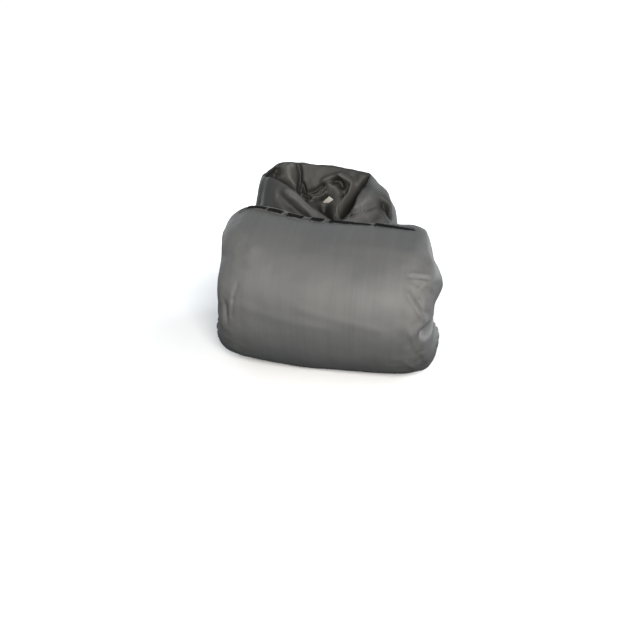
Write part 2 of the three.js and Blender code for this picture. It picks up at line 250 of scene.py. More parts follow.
# How far each end is drawn in, by the turn round the roll: front 0, top 90, back 180, underside 270.
Draw = namedtuple("Draw", "turn left right")
END_DRAW = [
    Draw(0, 0.016, 0.006),
    Draw(12, 0.015, 0.007),
    Draw(22, 0.015, 0.006),
    Draw(34, 0.015, 0.0),
    Draw(45, 0.013, -0.004),
    Draw(56, 0.008, 0.001),
    Draw(66, 0.003, 0.010),
    Draw(90, -0.003, 0.025),
    Draw(112, 0.003, 0.033),
    Draw(145, 0.010, 0.036),
    Draw(190, 0.006, 0.024),
    Draw(235, 0.006, 0.012),
    Draw(270, 0.0, 0.006),
    Draw(305, -0.013, -0.005),
    Draw(320, -0.004, -0.003),
    Draw(335, 0.009, 0.003),
    Draw(348, 0.014, 0.006),
]

# How far the underside lifts towards the ends.
Lift = namedtuple("Lift", "along rise")
END_LIFT = [
    Lift(-1.00, 0.0),
    Lift(-0.60, 0.0),
    Lift(0.45, 0.0),
    Lift(0.70, 0.003),
    Lift(1.00, 0.012),
]

# Tucks that run from the sunken ends out over the rim and fade along the roll.
Tuck = namedtuple("Tuck", "end turn spread depth draw reach")
END_TUCKS = [
    Tuck(1, -2, 4.5, 0.013, 0.020, 0.026),
    Tuck(1, 32, 9, 0.005, 0.0, 0.060),
    Tuck(1, -48, 7, 0.009, 0.0, 0.040),
    Tuck(1, 64, 11, 0.006, 0.002, 0.060),
    Tuck(1, 118, 12, 0.011, 0.004, 0.070),
    Tuck(1, 172, 11, 0.013, 0.008, 0.080),
    Tuck(1, 222, 12, 0.010, 0.004, 0.060),
    Tuck(-1, -5, 6, 0.006, -0.003, 0.026),
    Tuck(-1, 36, 10, 0.005, 0.0, 0.070),
    Tuck(-1, -44, 10, 0.005, 0.0, 0.050),
    Tuck(-1, 80, 12, 0.005, 0.0, 0.060),
    Tuck(-1, 132, 12, 0.012, 0.005, 0.076),
    Tuck(-1, 186, 11, 0.012, 0.008, 0.070),
    Tuck(-1, 232, 11, 0.009, 0.004, 0.056),
]

# Broad unevenness of the winding, as waves along and round the roll.
Wave = namedtuple("Wave", "height along around shift")
ROLL_WAVES = [Wave(0.0016, 2.1, 2, 0.6), Wave(0.0012, 4.7, 3, 2.4)]

# Creases in the skin, each from one place to another: metres along from the roll's middle, and degrees
# round it. Depths above 0 are soft troughs, and below 0 ridges. The lip is the height of the cloth that
# is pushed up on the left, as seen from the start.
Crease = namedtuple("Crease", "x turn to_x to_turn depth width lip")
ROLL_CREASES = [
    Crease(-0.146, 18, -0.155, 8, 0.0022, 0.0026, 0.0),
    Crease(-0.158, 10, -0.163, -5, -0.0018, 0.0028, 0.0),
    Crease(-0.154, 7, -0.160, -4, 0.0022, 0.0030, 0.0),
    Crease(-0.174, 3, -0.173, -6, 0.0060, 0.0045, 0.0),
    Crease(-0.166, 62, -0.128, 47, -0.0022, 0.0075, 0.0018),
    Crease(-0.186, 40, -0.140, 34, 0.0020, 0.0080, 0.0),
    Crease(0.160, 41, 0.184, 40, 0.0026, 0.0030, 0.0010),
    Crease(0.166, 37, 0.190, 31, 0.0018, 0.0045, 0.0012),
    Crease(0.176, 33, 0.196, 40, -0.0016, 0.0045, 0.0),
    Crease(0.160, 28, 0.193, 10, -0.0026, 0.0042, -0.0012),
    Crease(0.178, 24, 0.196, 15, 0.0020, 0.0035, 0.0),
    Crease(0.172, -2, 0.186, -20, -0.0022, 0.0042, 0.0),
    Crease(0.186, -20, 0.187, -37, 0.0042, 0.0030, -0.0012),
    Crease(0.165, -30, 0.176, -44, -0.0016, 0.0050, 0.0),
    Crease(-0.020, 12, 0.110, 2, -0.0008, 0.0090, 0.0),
    Crease(-0.150, 5, 0.020, 0, -0.0008, 0.0090, 0.0),
    Crease(-0.060, 62, 0.030, 58, 0.0008, 0.0110, 0.0),
    Crease(0.060, 66, 0.150, 60, -0.0010, 0.0110, 0.0),
]

# How a crease runs out past its ends, and how far off and how broad its lip is, in widths of the crease.
CREASE_FADE = 2
LIP_OFF = 1.9
LIP_BROAD = 1.3

# Out from the axis: where the skin takes the creases, and where the draw of the ends is full. Then how far
# round the underside its lift begins and is full.
SKIN_BAND = (0.7, 0.9)
RIMMED_OUT = 0.6
UNDERSIDE_BAND = (0.1, 0.9)

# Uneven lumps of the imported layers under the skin, and the crumpling that is strongest at the ends.
Lumps = namedtuple("Lumps", "size height at_ends seed")
ROLL_LUMPS = [
    Lumps(0.105, 0.0020, 0.0010, 1.0),
    Lumps(0.046, 0.0006, 0.0022, 2.0),
    Lumps(0.020, 0.00012, 0.0010, 3.0),
]
LUMPS_ENDWARD = (0.55, 0.95)
LUMPS_OUT = (0.1, 0.8)

# The wound turns of cloth that show on the ends, as a spiral of uneven grooves. They begin and end at a
# distance from the axis, and the cloth is pulled over them on the front of the right end.
TURN_PITCH = 0.0165
TURN_GROOVE = 0.0055
TURN_BROAD = 0.17
TURN_WOBBLE = Lumps(0.07, 0.35, 0.0, 6.0)
TURN_UNEVEN = Lumps(0.05, 0.4, 0.0, 7.0)
TURNS_BEGIN = (0.05, 0.16)
TURNS_END = (0.68, 0.84)
TURNS_ALONG = (0.8, 0.9)
PULLED_FRONT = (0.3, 0.9)
PULLED_OUT = (0.3, 0.5)

# The grain of the crumpling: its offset for each seed, and how its finer lumps follow from the coarser.
CRUMPLE_SHIFT = (7.3, 3.1, 5.7)
CRUMPLE_ROUGH = 0.9
CRUMPLE_FINER = 2.1
CRUMPLE_LAYERS = 2

# Points this close to each other are one point.
ONE_POINT = 1e-6


def hermite(s, start, end, leave, arrive):
    """A smooth way from start to end that leaves and arrives with the given slopes."""
    return (
        start * (2 * s**3 - 3 * s**2 + 1) + leave * (s**3 - 2 * s**2 + s)
        + end * (3 * s**2 - 2 * s**3) + arrive * (s**3 - s**2)
    )


def smooth_table(table, at, value, places, turn=None):
    """Values from two columns of a table, smooth between its rows and closed round any turn given."""
    stops = np.array([getattr(row, at) for row in table], float)
    values = np.array([getattr(row, value) for row in table], float)
    places = np.asarray(places, float)
    if turn:
        places = places % turn
        stops = np.concatenate([stops[-2:] - turn, stops, stops[:2] + turn])
        values = np.concatenate([values[-2:], values, values[:2]])
    else:
        places = np.clip(places, stops[0], stops[-1])
    slopes = np.gradient(values, stops)
    slopes[1:-1] = (values[2:] - values[:-2]) / (stops[2:] - stops[:-2])
    left = np.clip(np.searchsorted(stops, places, side="right") - 1, 0, len(stops) - 2)
    span = stops[left + 1] - stops[left]
    s = (places - stops[left]) / span
    return hermite(s, values[left], values[left + 1], slopes[left] * span, slopes[left + 1] * span)


def smooth_rows(rows, count, steps=24):
    """A round curve through the rows of a profile, as evenly spaced points."""
    corners = np.array(rows, float)
    padded = np.vstack([2 * corners[0] - corners[1], corners, 2 * corners[-1] - corners[-2]])
    fine = []
    for before, start, end, after in zip(padded, padded[1:], padded[2:], padded[3:]):
        for s in np.linspace(0, 1, steps, endpoint=False):
            fine.append(hermite(s, start, end, (end - before) / 2, (after - start) / 2))
    fine.append(corners[-1])
    fine = np.array(fine)
    run = np.concatenate([[0], np.cumsum(np.linalg.norm(np.diff(fine, axis=0), axis=1))])
    even = np.linspace(0, run[-1], count)
    return np.stack([np.interp(even, run, fine[:, i]) for i in range(fine.shape[1])], axis=1)


def ease(value, low, high):
    s = np.clip((value - low) / (high - low), 0, 1)
    return s * s * (3 - 2 * s)


def turn_away(turn, middle):
    return (turn - middle + 180.0) % 360.0 - 180.0


def turn_bump(turn, middle, spread):
    return np.exp(-((turn_away(turn, middle) / spread) ** 2))


def crumple(points, lumps):
    """Uneven noise from about -1 to 1 with lumps of the given size, at each of the points."""
    grain = (CRUMPLE_ROUGH, CRUMPLE_FINER, CRUMPLE_LAYERS)
    shift = Vector([lumps.seed * way for way in CRUMPLE_SHIFT])
    return np.array([
        noise.fractal(Vector(point) / lumps.size + shift, *grain, noise_basis="PERLIN_ORIGINAL")
        for point in points
    ])


def spun_skin(profile, axis, steps):
    """A profile spun right round an axis, closed at both poles, with its faces outwards."""
    made = bmesh.new()
    verts = [made.verts.new(point) for point in profile]
    edges = [made.edges.new(pair) for pair in zip(verts, verts[1:])]
    bmesh.ops.spin(
        made, geom=verts + edges, cent=(0, 0, 0), axis=axis, angle=math.tau, steps=steps, use_merge=True
    )
    bmesh.ops.remove_doubles(made, verts=made.verts, dist=ONE_POINT)
    bmesh.ops.recalc_face_normals(made, faces=made.faces)
    return made


def vert_places(made):
    return np.array([vert.co for vert in made.verts], float)


def move_verts(made, places):
    for vert, place in zip(made.verts, places):
        vert.co = place


def crease_depth(x, turn):
    """How deep the creases press into the roll's skin."""
    depth = np.zeros_like(x)
    for row in ROLL_CREASES:
        line = np.array([row.to_x - row.x, math.radians(row.to_turn - row.turn) * ROLL_RADIUS])
        length = np.linalg.norm(line)
        line /= length
        off = np.stack([x - row.x, np.radians(turn_away(turn, row.turn)) * ROLL_RADIUS], axis=1)
        run = off @ line
        side = off @ np.array([-line[1], line[0]])
        past = np.maximum(np.maximum(-run, run - length), 0)
        fade = np.exp(-((past / (CREASE_FADE * row.width)) ** 2))
        depth += row.depth * fade * np.exp(-((side / row.width) ** 2))
        lip_side = (side - LIP_OFF * row.width) / (LIP_BROAD * row.width)
        depth -= row.lip * fade * np.exp(-(lip_side**2))
    return depth


def roll_places(along, out, turn):
    """Where the roll's skin lies, from its place along the roll, out from the axis and round it."""
    half = ROLL_LENGTH / 2
    height = smooth_table(ROLL_SECTIONS, "along", "height", along)
    depth = smooth_table(ROLL_SECTIONS, "along", "depth", along)
    rimmed = ease(out, 0, RIMMED_OUT)
    left = smooth_table(END_DRAW, "turn", "left", turn, 360)
    right = smooth_table(END_DRAW, "turn", "right", turn, 360)
    draw = np.where(along < 0, left, right) * np.abs(along) ** 3
    rise = smooth_table(END_LIFT, "along", "rise", along)
    dent = np.zeros_like(along)
    for tuck in END_TUCKS:
        fade = 1 - ease(half * (1 - along * tuck.end), 0, tuck.reach)
        fade *= turn_bump(turn, tuck.turn, tuck.spread)
        dent += tuck.depth * fade
        draw += tuck.draw * fade
    around = np.radians(turn)
    for wave in ROLL_WAVES:
        dent += wave.height * np.sin(wave.along * along + wave.around * around + wave.shift)
    dent += crease_depth(along * half, turn) * ease(out, *SKIN_BAND)
    reach = out - dent * rimmed * out / (depth / 2)
    x = ROLL_MIDDLE[0] + along * half - np.sign(along) * draw * rimmed
    y = ROLL_MIDDLE[1] - np.cos(around) * reach * depth / 2
    z = height / 2 - ROLL_FLAT_SPOT + np.sin(around) * reach * height / 2
    z += rise * ease(-np.sin(around), *UNDERSIDE_BAND) * rimmed
    return np.stack([x, y, np.maximum(z, 0)], axis=-1)


def wound_roll():
    rows = smooth_rows(ROLL_PROFILE, ROLL_STEPS["along"])
    rows[0, 1] = rows[-1, 1] = 0
    made = spun_skin([(along, -out, 0) for along, out in rows], (1, 0, 0), ROLL_STEPS["around"])
    unit = vert_places(made)
    along = unit[:, 0]
    out = np.hypot(unit[:, 1], unit[:, 2])
    turn = np.degrees(np.arctan2(unit[:, 2], -unit[:, 1]))
    around = np.radians(turn)
    places = roll_places(along, out, turn)
    outward = np.stack([np.zeros_like(out), -np.cos(around), np.sin(around)], axis=1)
    wound = out * ROLL_RADIUS / TURN_PITCH - turn / 360 + TURN_WOBBLE.height * crumple(places, TURN_WOBBLE)
    uneven = 1 - TURN_UNEVEN.height + TURN_UNEVEN.height * crumple(places, TURN_UNEVEN)
    groove = np.exp(-(((wound % 1.0) - 0.5) / TURN_BROAD) ** 2) * uneven
    groove *= ease(out, *TURNS_BEGIN) * (1 - ease(out, *TURNS_END)) * ease(np.abs(along), *TURNS_ALONG)
    pulled_over = ease(np.cos(around), *PULLED_FRONT) * ease(out, *PULLED_OUT) * (along > 0)
    places[:, 0] -= np.sign(along) * TURN_GROOVE * groove * (1 - pulled_over)
    endward = ease(np.abs(along), *LUMPS_ENDWARD)
    for lumps in ROLL_LUMPS:
        height = lumps.height + lumps.at_ends * endward
        places += outward * (height * crumple(places, lumps) * ease(out, *LUMPS_OUT))[:, None]
    places[:, 2] = np.maximum(places[:, 2], 0)
    move_verts(made, places)
    bmesh.ops.recalc_face_normals(made, faces=made.faces)
    return made


# The cloth's finish: grey coated polyester with fine ribs along the weave and faint uneven tones. Each kind
# of unevenness has the scale and the fineness of its noise, and its share of the tone.
CLOTH_WARM = (0.0530, 0.0533, 0.0526)
CLOTH_COOL = (0.0465, 0.0501, 0.0544)
CLOTH_RIBS = 330.0
ROLL_RIBS = (CLOTH_RIBS, 7.0, 7.0)
CLOTH_TONE = 0.65
Uneven = namedtuple("Uneven", "scale detail share")
BLOTCHES = Uneven(9.0, 3.0, 0.26)
STREAKS = Uneven(1.0, 2.0, 0.20)
GRAIN = Uneven(420.0, 2.0, 0.08)
BANDS = Uneven(1.0, 1.0, 0.18)
BAND_STRETCH = 0.2
CLOTH_ROUGH = 0.55
CLOTH_ROUGHER = 0.2
STREAK_HEIGHT = 0.6
GRAIN_HEIGHT = 0.5


def mottled(start, spot, uneven):
    """A noise of one kind of unevenness."""
    return start.make(
        "ShaderNodeTexNoise", None, {"Vector": spot, "Scale": uneven.scale, "Detail": uneven.detail}
    )


def mixed(start, share, first, second):
    """The first colour, with a share of the second."""
    return start.make("ShaderNodeMix", {"data_type": "RGBA"}, {0: share, 6: first, 7: second}, out=2)


def stretched(start, spot, ways):
    return start.make("ShaderNodeVectorMath", {"operation": "MULTIPLY"}, {0: spot, 1: ways})


def cover_cloth(name, ribs, gloss=0.5, shade=1.0, lining=None):
    """The cover's cloth, with its weave lines across the given direction of the piece. A shade below 1
    darkens its colour all over, a painted shade. With a lining, its colour follows the attribute inner of
    the mesh, and its tone the attribute tone, which carries painted shade and painted highlight."""
    material, shader, start = new_finish(name, Specular_IOR_Level=gloss)
    spot = start.make("ShaderNodeTexCoord", out=3)
    streaks = mottled(start, stretched(start, spot, ribs), STREAKS)
    broad = mottled(start, spot, BLOTCHES)
    grain = mottled(start, spot, GRAIN)
    bands = mottled(start, stretched(start, spot, [BAND_STRETCH * rib for rib in ribs]), BANDS)
    tone = CLOTH_TONE + broad * BLOTCHES.share + streaks * STREAKS.share
    tone = tone + grain * GRAIN.share + bands * BANDS.share
    warm = tuple(shade * c for c in CLOTH_WARM) + (1.0,)
    cool = tuple(shade * c for c in CLOTH_COOL) + (1.0,)
    tint = mixed(start, broad, cool, warm)
    if lining:
        inner = start.make("ShaderNodeAttribute", {"attribute_name": "inner"}, out=2)
        tint = mixed(start, inner, tint, (*lining, 1.0))
        # The tone attribute carries painted shade and painted highlight on the gathered cloth.
        tone = tone * start.make("ShaderNodeAttribute", {"attribute_name": "tone"}, out=2)
    toned = start.make("ShaderNodeVectorMath", {"operation": "SCALE"}, {0: tint, "Scale": tone})
    feed(shader, "Base Color", toned)
    feed(shader, "Roughness", CLOTH_ROUGH + broad * CLOTH_ROUGHER)
    height = streaks * STREAK_HEIGHT + grain * GRAIN_HEIGHT
    bump = start.make("ShaderNodeBump", None, {"Strength": 0.35, "Distance": 0.0006, "Height": height})
    feed(shader, "Normal", bump)
    return material


roll = piece_from("cover_roll", wound_roll(), cover_cloth("roll_cloth", ROLL_RIBS))
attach(roll, "root")
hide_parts("cover_cloth")


# The gathered end
# The last of the same cloth, which stands behind the roll like the mouth of a sack. Its wall sags on
# itself, its hem is drawn in at the rim, and folds fan out inside from the low front of the mouth.
GATHER_MIDDLE = (-0.0565, 0.1356)
GATHER_WIDTH = 0.312
GATHER_DEPTH = 0.150
GATHER_SQUARE = 0.84
SLUMP_RIGHT = 0.022
SLUMP_FORWARD = 0.024
SLUMP_LAP = 0.046
SLUMP_LEVEL = 0.8
LAP_LEVEL = 0.5
MOUTH_LOW = (-0.0095, 0.0936, 0.230)
GATHER_STEPS = {"wall": 110, "mouth": 104, "around": 400}
ROW_STEP = 0.01

# The rim, seen from above: right 0, back 90, left 180, front 270. Its cloth is drawn in from a level up.
Rim = namedtuple("Rim", "turn height out draw start")
RIM = [
    Rim(0, 0.301, 1.065, 0.041, 0.88),
    Rim(20, 0.308, 1.065, 0.031, 0.92),
    Rim(38, 0.317, 1.05, 0.012, 0.92),
    Rim(60, 0.319, 1.00, 0.004, 0.92),
    Rim(90, 0.325, 1.00, 0.0, 0.92),
    Rim(120, 0.331, 1.00, 0.0, 0.92),
    Rim(140, 0.328, 1.00, 0.002, 0.92),
    Rim(160, 0.321, 0.965, 0.0, 0.92),
    Rim(180, 0.315, 0.955, 0.0, 0.92),
    Rim(210, 0.316, 0.97, 0.0, 0.90),
    Rim(228, 0.318, 1.00, 0.0, 0.85),
    Rim(244, 0.309, 1.00, 0.0, 0.80),
    Rim(258, 0.290, 1.00, 0.0, 0.75),
    Rim(270, 0.262, 1.00, 0.0, 0.70),
    Rim(284, 0.238, 1.00, 0.0, 0.65),
    Rim(297, 0.242, 1.01, 0.008, 0.62),
    Rim(310, 0.260, 1.04, 0.024, 0.62),
    Rim(324, 0.280, 1.06, 0.038, 0.66),
    Rim(340, 0.294, 1.06, 0.043, 0.76),
]

# Up the slumped outside to the rim, and from the rim down into the mouth.
Wall = namedtuple("Wall", "out level")
WALL_PROFILE = [
    Wall(0.0, 0.0),
    Wall(0.96, 0.0),
    Wall(1.10, 0.025),
    Wall(1.18, 0.08),
    Wall(1.21, 0.16),
    Wall(1.20, 0.25),
    Wall(1.17, 0.34),
    Wall(1.125, 0.43),
    Wall(1.08, 0.52),
    Wall(1.035, 0.62),
    Wall(0.985, 0.73),
    Wall(0.945, 0.82),
    Wall(0.90, 0.92),
    Wall(0.865, 0.98),
    Wall(0.83, 1.0),
]
MOUTH_PROFILE = [
    Wall(1.0, 1.0),
    Wall(0.965, 0.95),
    Wall(0.92, 0.80),
    Wall(0.86, 0.60),
    Wall(0.76, 0.43),
    Wall(0.64, 0.33),
    Wall(0.50, 0.27),
    Wall(0.34, 0.19),
    Wall(0.17, 0.08),
    Wall(0.0, 0.0),
]

# Folds inside the mouth, ridges above 0 and troughs below, each along a line of points on the cloth. Its
# height falls away over one distance on the left of the line and another on the right.
Fold = namedtuple("Fold", "height left right path")
FOLD_POINTS = 20
MOUTH_FOLDS = [
    # The gap inside the right edge.
    Fold(-0.022, 0.006, 0.006, [
        (0.033, 0.166, 0.303), (0.023, 0.167, 0.284), (0.007, 0.152, 0.259), (-0.004, 0.116, 0.241),
    ]),
    Fold(0.004, 0.009, 0.009, [(0.021, 0.175, 0.308), (0.013, 0.172, 0.285), (-0.001, 0.150, 0.258)]),
    # The arched fold, and the hollow inside it.
    Fold(0.009, 0.004, 0.008, [(-0.062, 0.186, 0.295), (-0.043, 0.189, 0.303), (-0.022, 0.189, 0.307)]),
    Fold(0.018, 0.005, 0.009, [
        (-0.022, 0.189, 0.307), (-0.006, 0.185, 0.301), (0.006, 0.179, 0.292), (0.005, 0.173, 0.278),
        (-0.001, 0.155, 0.259), (-0.009, 0.126, 0.246), (-0.017, 0.112, 0.238),
    ]),
    Fold(-0.016, 0.006, 0.006, [(-0.036, 0.186, 0.294), (-0.026, 0.186, 0.296), (-0.021, 0.181, 0.284)]),
    Fold(-0.014, 0.004, 0.004, [(-0.011, 0.171, 0.268), (-0.013, 0.160, 0.260)]),
    Fold(0.013, 0.008, 0.014, [
        (-0.046, 0.180, 0.281), (-0.034, 0.180, 0.280), (-0.023, 0.168, 0.267), (-0.020, 0.142, 0.254),
        (-0.022, 0.124, 0.245),
    ]),
    # The round lobe at the back left, the crease on its right and the gap on its left.
    Fold(0.016, 0.013, 0.016, [
        (-0.140, 0.181, 0.324), (-0.141, 0.174, 0.310), (-0.136, 0.170, 0.295), (-0.125, 0.164, 0.280),
    ]),
    Fold(-0.015, 0.004, 0.004, [
        (-0.119, 0.188, 0.326), (-0.114, 0.182, 0.307), (-0.114, 0.173, 0.287), (-0.115, 0.164, 0.277),
    ]),
    Fold(-0.018, 0.005, 0.007, [
        (-0.163, 0.166, 0.320), (-0.166, 0.155, 0.310), (-0.154, 0.157, 0.295), (-0.137, 0.160, 0.283),
        (-0.123, 0.157, 0.272),
    ]),
    Fold(-0.016, 0.009, 0.010, [(-0.172, 0.139, 0.310), (-0.166, 0.151, 0.309), (-0.159, 0.163, 0.314)]),
    # The ruffled wad in the middle, and the hole below it.
    Fold(-0.009, 0.016, 0.014, [(-0.102, 0.165, 0.271), (-0.080, 0.166, 0.268), (-0.060, 0.172, 0.272)]),
    Fold(0.012, 0.003, 0.003, [
        (-0.105, 0.158, 0.268), (-0.099, 0.165, 0.271), (-0.082, 0.164, 0.267), (-0.067, 0.174, 0.273),
    ]),
    Fold(0.010, 0.003, 0.003, [(-0.068, 0.175, 0.275), (-0.058, 0.181, 0.283), (-0.047, 0.183, 0.287)]),
    Fold(0.011, 0.003, 0.003, [(-0.080, 0.157, 0.263), (-0.065, 0.165, 0.266), (-0.055, 0.173, 0.271)]),
    Fold(-0.014, 0.004, 0.004, [
        (-0.098, 0.150, 0.262), (-0.083, 0.146, 0.260), (-0.064, 0.158, 0.262), (-0.055, 0.167, 0.266),
    ]),
    Fold(-0.012, 0.003, 0.004, [(-0.106, 0.178, 0.288), (-0.102, 0.172, 0.279), (-0.098, 0.166, 0.272)]),
    Fold(-0.013, 0.004, 0.004, [(-0.092, 0.168, 0.272), (-0.073, 0.176, 0.277), (-0.062, 0.182, 0.285)]),
    Fold(-0.021, 0.011, 0.011, [(-0.049, 0.134, 0.252), (-0.041, 0.120, 0.244), (-0.034, 0.109, 0.238)]),
]

# Folds of the same kind outside: the shirred band along the left edge, and the sagging right panel.
PANEL_FOLDS = [
    Fold(-0.0035, 0.030, 0.030, [(-0.155, 0.085, 0.295), (-0.130, 0.066, 0.265), (-0.100, 0.062, 0.250)]),
    Fold(0.004, 0.009, 0.008, [
        (-0.115, 0.073, 0.294), (-0.093, 0.070, 0.279), (-0.075, 0.069, 0.263), (-0.055, 0.068, 0.248),
    ]),
    Fold(-0.008, 0.004, 0.007, [
        (-0.128, 0.073, 0.287), (-0.106, 0.067, 0.270), (-0.087, 0.065, 0.256), (-0.070, 0.065, 0.245),
    ]),
    Fold(-0.0024, 0.0016, 0.0016, [(-0.104, 0.073, 0.292), (-0.080, 0.071, 0.274), (-0.051, 0.069, 0.248)]),
    Fold(-0.0024, 0.0016, 0.0016, [(-0.112, 0.072, 0.290), (-0.088, 0.068, 0.270), (-0.064, 0.067, 0.248)]),
    Fold(0.003, 0.010, 0.010, [(-0.139, 0.074, 0.290), (-0.128, 0.066, 0.270), (-0.116, 0.060, 0.255)]),
    Fold(0.005, 0.014, 0.012, [(0.056, 0.150, 0.299), (0.045, 0.122, 0.278), (0.033, 0.107, 0.258)]),
    Fold(-0.007, 0.003, 0.007, [(0.082, 0.124, 0.268), (0.053, 0.112, 0.259), (0.015, 0.093, 0.249)]),
    Fold(-0.006, 0.003, 0.005, [(0.079, 0.113, 0.256), (0.061, 0.100, 0.242)]),
    Fold(-0.018, 0.006, 0.008, [(0.084, 0.124, 0.268), (0.091, 0.119, 0.258), (0.096, 0.115, 0.250)]),
]

# Folds of the same kind on the sides and the back, as points of turn and level on the wall.
BACK_FOLDS = [
    Fold(0.009, 0.008, 0.016, [(72, 0.95), (78, 0.75), (92, 0.50), (112, 0.26)]),
    Fold(-0.008, 0.006, 0.011, [(106, 0.95), (101, 0.75), (90, 0.50), (78, 0.30)]),
    Fold(0.009, 0.016, 0.008, [(130, 0.95), (127, 0.70), (138, 0.42), (152, 0.18)]),
    Fold(0.008, 0.008, 0.014, [(46, 0.94), (42, 0.70), (54, 0.45), (64, 0.28)]),
    Fold(-0.008, 0.006, 0.009, [(150, 0.94), (157, 0.70), (150, 0.48)]),
    Fold(0.008, 0.008, 0.014, [(20, 0.80), (27, 0.62), (16, 0.40), (22, 0.18)]),
    Fold(-0.006, 0.005, 0.008, [(86, 0.96), (84, 0.80), (90, 0.64)]),
    Fold(-0.006, 0.005, 0.008, [(116, 0.96), (117, 0.82), (112, 0.66)]),
    Fold(0.006, 0.009, 0.006, [(176, 0.92), (179, 0.70), (168, 0.42)]),
    Fold(-0.010, 0.014, 0.007, [(36, 0.36), (64, 0.27), (95, 0.31), (122, 0.24)]),
    Fold(-0.009, 0.013, 0.007, [(98, 0.42), (126, 0.34), (152, 0.43)]),
    Fold(-0.009, 0.011, 0.007, [(140, 0.22), (166, 0.29), (192, 0.23)]),
    Fold(-0.009, 0.013, 0.007, [(-10, 0.30), (12, 0.22), (34, 0.29)]),
    Fold(-0.006, 0.010, 0.007, [(58, 0.12), (100, 0.15), (142, 0.10)]),
    Fold(0.004, 0.012, 0.012, [(100, 0.20), (120, 0.14), (136, 0.17)]),
    Fold(-0.005, 0.006, 0.007, [(58, 0.62), (70, 0.54), (80, 0.60)]),
    Fold(-0.005, 0.007, 0.006, [(132, 0.62), (142, 0.55), (155, 0.60)]),
]

# Fine crumpling of the gathered cloth, over the folds.
GATHER_LUMPS = [Lumps(0.034, 0.0016, 0.0, 4.0), Lumps(0.015, 0.0006, 0.0, 5.0)]

# Where the folds fade out: on the back towards the rim, in the mouth below the rim, at both poles of the
# skin, and above the floor.
BACK_FADE = (0.84, 0.97)
RIM_FADE = 0.05
LOW_FADE = 0.06
FLOOR_FADE = 0.02

# How much of the way to the cloth behind it a trough may take, on the wall and in the mouth.
WALL_CLEAR = 0.3
FOLD_CLEAR = 0.6
RAY_START = 0.0001

# Which cloth is smoothed, and how often: the slack back, the mouth, and what is crowded deep in the mouth.
SLACK_BACK = 0.1
SLACK_LEVEL = (0.01, 0.97)
BACK_SMOOTH = 4
MOUTH_INSIDE = 0.955
MOUTH_SMOOTH = 3
CROWDED_EDGE = 0.0004
CROWDED_SMOOTH = 40

# Painted shade and light, kept in the tone attribute: the cloth is painted dimmer in front and inside,
# darker in its folds and at its left and right limbs, and darkest at the left where it meets the roll.
# Painted highlight makes it lighter on its ridges and right panel.
TONE_FRONT = 0.42
TONE_BACK = 0.85
OPEN_BACK = (-0.1, 0.35)
OPEN_LOW = (0.45, 0.72)
TONE_LIMB = 0.25
LIMB_SIDE = (0.75, 0.98)
LIMB_LEVEL = (0.6, 0.85)
TONE_PANEL = 0.16
PANEL_SIDE = (0.2, 0.5)
TONE_CONTACT = 0.35
CONTACT_BAND = (0.250, 0.022)
CONTACT_FRONT = (0.1, 0.5)
TONE_RELIEF = 0.85
RIDGE_HIGHLIGHT = 2
RELIEF_FULL = 0.009

# Folds in the wall, which lean as they rise, and creases across it where it sags on itself.
WallFold = namedtuple("WallFold", "turn spread depth lean")
WALL_FOLDS = [
    WallFold(6, 7, 0.011, 10),
    WallFold(38, 9, 0.017, -18),
    WallFold(66, 6, 0.009, 8),
    WallFold(94, 9, 0.018, 20),
    WallFold(122, 6, 0.010, -12),
    WallFold(150, 9, 0.017, 16),
    WallFold(178, 7, 0.009, -8),
    WallFold(210, 7, 0.005, 6),
    WallFold(328, 7, 0.007, -10),
]
Sag = namedtuple("Sag", "turn spread level tall depth climb")
SAGS = [
    Sag(62, 34, 0.40, 0.07, 0.015, 0.12),
    Sag(128, 30, 0.30, 0.07, 0.016, -0.16),
    Sag(176, 22, 0.46, 0.07, 0.013, 0.10),
    Sag(14, 22, 0.34, 0.07, 0.013, -0.10),
    Sag(96, 26, 0.64, 0.06, 0.009, 0.14),
]

# The wall's folds begin above the floor, and grow shallow from a level up to the rim.
PLEAT_FOOT = (0.02, 0.35)
PLEAT_HIGH = 0.7
PLEAT_DRAWN = 0.75


def squared(value, power):
    return np.sign(value) * np.abs(value) ** power


def wall_dent(level, turn):
    """How far the folds and sags press into the wall."""
    pleat = ease(level, *PLEAT_FOOT) * (1 - PLEAT_DRAWN * ease(level, PLEAT_HIGH, 1))
    dent = np.zeros_like(level)
    for fold in WALL_FOLDS:
        dent += fold.depth * turn_bump(turn - fold.lean * (level - 0.5), fold.turn, fold.spread)
    dent *= pleat
    for sag in SAGS:
        climb = sag.climb * turn_away(turn, sag.turn) / sag.spread
        off = (level - sag.level - climb) / sag.tall
        dent += sag.depth * turn_bump(turn, sag.turn, sag.spread) * np.exp(-off * off)
    return dent


def wall_places(out, level, turn):
    around = np.radians(turn)
    reach = out * smooth_table(RIM, "turn", "out", turn, 360)
    slump = 1 - ease(level, 0, SLUMP_LEVEL)
    lap = SLUMP_LAP * ease(-np.sin(around), 0, 1) * (1 - ease(level, LAP_LEVEL, 1))
    dent = wall_dent(level, turn) * out
    start = smooth_table(RIM, "turn", "start", turn, 360)
    dent += smooth_table(RIM, "turn", "draw", turn, 360) * ease(level, start, 1.0)
    x = GATHER_MIDDLE[0] + SLUMP_RIGHT * slump
    x += squared(np.cos(around), GATHER_SQUARE) * (reach * GATHER_WIDTH / 2 - dent)
    y = GATHER_MIDDLE[1] - SLUMP_FORWARD * slump - lap * out
    y += squared(np.sin(around), GATHER_SQUARE) * (reach * GATHER_DEPTH / 2 - dent)
    return np.stack([x, y, level * smooth_table(RIM, "turn", "height", turn, 360)], axis=1)


def mouth_places(out, level, turn):
    """Where the cloth inside the mouth lies, from the rim at 1 to the low front of the mouth at 0."""
    brim = wall_places(np.full_like(out, WALL_PROFILE[-1].out), np.ones_like(out), turn)
    low = np.array(MOUTH_LOW)
    places = low + (brim - low) * out[:, None]
    places[:, 2] = low[2] + (brim[:, 2] - low[2]) * level
    return places


